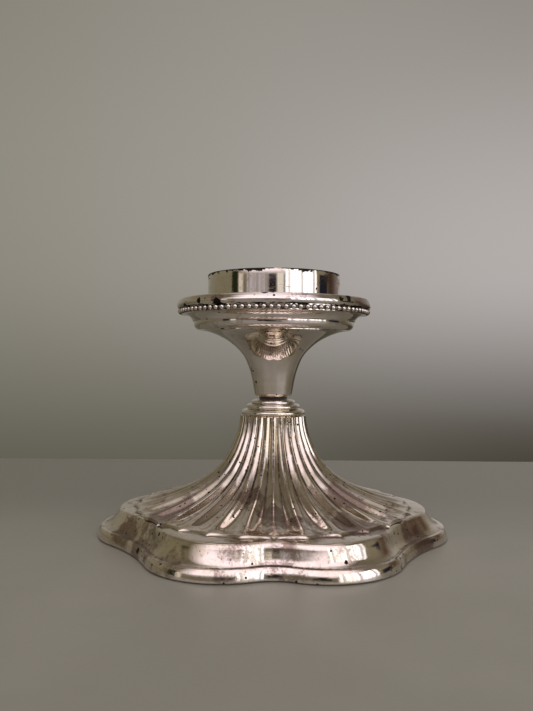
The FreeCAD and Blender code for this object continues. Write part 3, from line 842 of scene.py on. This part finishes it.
# ---------------------------------------------------------------- turned and hexagonal fittings
BUSH_R = 6.0
BUSH_BORE = 4.05
bush_profile = path(
    [(BUSH_BORE, BUSH_LOW + 0.3), (4.35, BUSH_LOW), (5.6, BUSH_LOW), (BUSH_R, BUSH_LOW + 0.4)],
    [(BUSH_R - (0.35 if k % 2 else 0.0), BUSH_LOW + 0.8 + 0.5 * k) for k in range(15)],
    [(BUSH_R, COLLAR_TOP - FLANGE_T), (7.3, COLLAR_TOP - FLANGE_T), (7.5, COLLAR_TOP - 1.3),
     (7.5, COLLAR_TOP - 0.2), (7.3, COLLAR_TOP), (4.4, COLLAR_TOP), (BUSH_BORE, COLLAR_TOP - 0.35)],
)
lathe("threaded_bush_turned", bush_profile, "foot", "threaded_bush", "bush_brass", bush_brass,
      segments=96, sharp=30)
washer_profile = path(
    [(4.15, COLLAR_TOP + 0.2), (4.35, COLLAR_TOP), (6.4, COLLAR_TOP)],
    arc((6.4, COLLAR_TOP), (6.7, COLLAR_TOP + NECK_WASHER_T / 2), (6.4, CONE_Z), 8),
    [(4.35, CONE_Z), (4.15, CONE_Z - 0.2)],
)
lathe("neck_washer_pressed", washer_profile, "washer", "neck_washer", "neck_fibre", neck_fibre, segments=144)

# the hidden plates and nuts keep their CAD shapes and only get a material
CAD_PIECES = (
    ("base_plate", plate_steel), ("crown_washer", washer_steel), ("bush_nut", nut_brass),
    ("stem_nut", stem_nut_steel), ("head_washer", head_washer_steel),
)
for node_name, material in CAD_PIECES:
    node_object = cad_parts[node_name]
    node_object.data.materials.clear()
    node_object.data.materials.append(material)

# ---------------------------------------------------------------- floor
# the table's edges in metres: it ends a little behind the candlestick, as in the photograph
SIDE, FRONT, BACK = 1.3, -0.75, 0.229
floor_mesh = bpy.data.meshes.new("floor")
floor_bm = bmesh.new()
floor_places = ((-SIDE, FRONT, 0), (SIDE, FRONT, 0), (SIDE, BACK, 0), (-SIDE, BACK, 0))
corners = [floor_bm.verts.new(place) for place in floor_places]
floor_bm.faces.new(corners)
bmesh.ops.subdivide_edges(floor_bm, edges=floor_bm.edges, cuts=20, use_grid_fill=True)
floor_bm.to_mesh(floor_mesh)
floor_bm.free()
floor = bpy.data.objects.new("floor", floor_mesh)
bpy.context.scene.collection.objects.link(floor)
f = Nodes("floor")
f_where = f.place()
f_cloud = f.noise(f_where, 9.0, 4.0, 0.6)
f_grain = f.noise(f_where, 700.0, 3.0, 0.6)
# painted shade: the floor turns darker from just in front of the candlestick to its back edge
f_back_shade = f.ramp(f.add("ShaderNodeSeparateXYZ", {"Vector": f_where}).outputs["Y"], -0.06, 0.10)
f_tone = f.mix(f.ramp(f_cloud, 0.35, 0.65), (0.306, 0.308, 0.257), (0.336, 0.338, 0.285))
f.set(Base_Color=f.mix(f_back_shade, f_tone, (0.240, 0.240, 0.198)))
f.set(Roughness=f.math("ADD", 0.30, f.math("MULTIPLY", f_grain, 0.16)), Specular_IOR_Level=0.35)
f_bump = f.add("ShaderNodeBump", {"Height": f_grain, "Strength": 0.12, "Distance": 0.0004})
f.set(Normal=f_bump.outputs["Normal"])
floor_mesh.materials.append(f.material)


# ---------------------------------------------------------------- light
MIDDLE_Z = 0.05        # height of the point the panels stand round, in metres


def toward(azimuth, elevation, distance):
    """A point seen from the object: azimuth 0 is toward the camera, positive to its right."""
    a, e = math.radians(azimuth), math.radians(elevation)
    way = Vector((math.sin(a) * math.cos(e), -math.cos(a) * math.cos(e), math.sin(e)))
    return way * distance + Vector((0, 0, MIDDLE_Z))


def panel(name, azimuths, elevations, distance, radiance, colour, edge=0.12, folds=0.0):
    """A curved sheet that only shows in reflections. It glows, has folds, and thins out at its edges."""
    across, up = 96, 24
    mesh = bpy.data.meshes.new(name)
    verts, cover, fold = [], [], []
    for i in range(up + 1):
        for j in range(across + 1):
            u, v = j / across, i / up
            verts.append(toward(azimuths[0] + (azimuths[1] - azimuths[0]) * u,
                                elevations[0] + (elevations[1] - elevations[0]) * v, distance))
            cover.append(max(0.0, min(1.0, u / edge, (1 - u) / edge) * min(1.0, v / edge, (1 - v) / edge)))
            shade = (0.5 + 0.5 * math.sin(u * 50.0 + 2.0 * math.sin(u * 17.0))) ** 3
            fold.append(radiance * (1.0 - folds * shade))
    row = across + 1
    faces = [(i * row + j, i * row + j + 1, (i + 1) * row + j + 1, (i + 1) * row + j)
             for i in range(up) for j in range(across)]
    mesh.from_pydata(verts, [], faces)
    for label, values in (("cover", cover), ("glow", fold)):
        mesh.attributes.new(label, "FLOAT", "POINT").data.foreach_set("value", np.array(values, np.float32))
    obj = bpy.data.objects.new(name, mesh)
    bpy.context.scene.collection.objects.link(obj)
    material = bpy.data.materials.new(name)
    material.use_nodes = True
    tree = material.node_tree
    tree.nodes.clear()
    emission = tree.nodes.new("ShaderNodeEmission")
    emission.inputs["Color"].default_value = (*colour, 1.0)
    clear = tree.nodes.new("ShaderNodeBsdfTransparent")
    mixed = tree.nodes.new("ShaderNodeMixShader")
    for label, target in (("glow", emission.inputs["Strength"]), ("cover", mixed.inputs[0])):
        attribute = tree.nodes.new("ShaderNodeAttribute")
        attribute.attribute_name = label
        tree.links.new(attribute.outputs["Fac"], target)
    tree.links.new(clear.outputs[0], mixed.inputs[1])
    tree.links.new(emission.outputs[0], mixed.inputs[2])
    tree.links.new(mixed.outputs[0], tree.nodes.new("ShaderNodeOutputMaterial").inputs[0])
    mesh.materials.append(material)
    obj.visible_camera = False
    obj.visible_shadow = False


# azimuths and elevations in degrees, distance in metres
panel("window", (17, 76), (-5, 31), 1.25, 2.1, (1.0, 0.97, 1.0), edge=0.03, folds=0.8)
panel("cream_strip", (4, 16), (7.2, 13), 1.2, 0.8, (1.0, 0.93, 0.84), edge=0.1)
panel("grey_strip", (-48, -10), (7.0, 12.5), 1.3, 0.50, (1.0, 0.90, 0.93), edge=0.06, folds=0.5)
panel("upper_panel", (-64, 66), (9, 62), 1.45, 1.3, (1.0, 0.885, 0.945), edge=0.2)
panel("dark_figure", (-9, 3), (6.0, 8.8), 3.0, 0.012, (0.9, 0.6, 1.0), edge=0.06)
panel("dark_near", (-13, 11), (-6.5, -1.5), 0.345, 0.014, (0.8, 0.7, 1.0), edge=0.12)
panel("dark_right", (80, 102), (-12, 14), 1.0, 0.02, (0.7, 0.7, 1.0), edge=0.1)
panel("brown_right", (92, 130), (-14, 36), 1.1, 0.085, (1.0, 0.62, 0.42), edge=0.45)
panel("dark_left", (-76, -62), (-12, 20), 1.0, 0.02, (0.7, 0.9, 0.4), edge=0.12)
panel("pale_left", (-62, -53), (-8, 16), 1.0, 0.66, (1.0, 0.88, 0.78), edge=0.12)

world = bpy.data.worlds.new("studio")
bpy.context.scene.world = world
world.use_nodes = True
wt = world.node_tree
background = wt.nodes["Background"]
direction = wt.nodes.new("ShaderNodeTexCoord").outputs["Generated"]
parts = wt.nodes.new("ShaderNodeSeparateXYZ")
wt.links.new(direction, parts.inputs[0])


def world_ramp(value, stops):
    """A colour from a direction's share, -1 to 1, given as stops from 0 to 1."""
    node = wt.nodes.new("ShaderNodeValToRGB")
    node.color_ramp.interpolation = "B_SPLINE"
    while len(node.color_ramp.elements) < len(stops):
        node.color_ramp.elements.new(0.5)
    for element, (place, colour) in zip(node.color_ramp.elements, stops):
        element.position = place
        element.color = (*colour, 1.0)
    shift = wt.nodes.new("ShaderNodeMapRange")
    shift.inputs["From Min"].default_value = -1.0
    wt.links.new(value, shift.inputs["Value"])
    wt.links.new(shift.outputs[0], node.inputs[0])
    return node.outputs[0]


def world_mix(factor, a, b):
    node = wt.nodes.new("ShaderNodeMix")
    node.data_type = "RGBA"
    # a colour mix takes its factor at input 0 and its two colours at inputs 6 and 7
    for key, value in ((0, factor), (6, a), (7, b)):
        wt.links.new(value, node.inputs[key])
    return node.outputs[2]


up_z, across_x, back_y = parts.outputs["Z"], parts.outputs["X"], parts.outputs["Y"]
BLACK = (0, 0, 0)
WHITE = (1, 1, 1)
CEILING = (0.12, 0.10, 0.066)
CEILING_EDGE = (0.11, 0.095, 0.06)
wall_left = world_ramp(up_z, [
    (0.40, (0.10, 0.095, 0.07)), (0.47, (0.155, 0.148, 0.118)), (0.56, (0.275, 0.262, 0.22)),
    (0.70, (0.26, 0.25, 0.212)), (0.86, CEILING),
])
# the right of the wall has a painted shadow low down and a painted brighter patch above it; being the world,
# both also light the scene and show in reflections
wall_right = world_ramp(up_z, [
    (0.40, (0.03, 0.025, 0.016)), (0.465, (0.025, 0.02, 0.011)), (0.555, (0.72, 0.67, 0.68)),
    (0.70, (0.27, 0.26, 0.235)), (0.86, CEILING),
])
wall = world_mix(world_ramp(across_x, [(0.46, BLACK), (0.68, WHITE)]), wall_left, wall_right)
front = world_ramp(up_z, [
    (0.40, (0.07, 0.058, 0.038)), (0.50, (0.125, 0.106, 0.072)), (0.62, (0.15, 0.128, 0.088)),
    (0.86, CEILING),
])
room = world_mix(world_ramp(back_y, [(0.40, BLACK), (0.70, WHITE)]), front, wall)
sideways = wt.nodes.new("ShaderNodeMath")
sideways.operation = "ABSOLUTE"
wt.links.new(across_x, sideways.inputs[0])
sides = world_ramp(up_z, [
    (0.40, (0.06, 0.052, 0.03)), (0.50, (0.17, 0.152, 0.098)), (0.66, (0.25, 0.222, 0.15)), (0.90, CEILING),
])
far = world_ramp(sideways.outputs[0], [(0.72, BLACK), (0.93, WHITE)])
overhead = world_ramp(across_x, [
    (0.26, CEILING_EDGE), (0.42, (0.95, 0.85, 0.84)), (0.58, (0.98, 0.87, 0.88)), (0.74, CEILING_EDGE),
])
above = world_ramp(up_z, [(0.86, BLACK), (0.95, WHITE)])
wt.links.new(world_mix(above, world_mix(far, room, sides), overhead), background.inputs[0])

# ---------------------------------------------------------------- camera
FOCAL_PX = 680.0
IMAGE_HEIGHT_PX = 711
SENSOR_MM = 36.0
CAMERA_PLACE = (-0.00333, -0.323, 0.0836)
camera_data = bpy.data.cameras.new("camera")
camera_data.sensor_width = SENSOR_MM
camera_data.lens = SENSOR_MM * FOCAL_PX / IMAGE_HEIGHT_PX
camera_data.clip_start = 0.01
camera = bpy.data.objects.new("camera", camera_data)
bpy.context.scene.collection.objects.link(camera)
pitch, roll = math.radians(90.126), math.radians(0.4)
camera.matrix_world = (Matrix.Translation(CAMERA_PLACE)
                       @ Matrix.Rotation(pitch, 4, "X") @ Matrix.Rotation(roll, 4, "Z"))
bpy.context.scene.camera = camera
bpy.context.scene.view_settings.view_transform = "Standard"
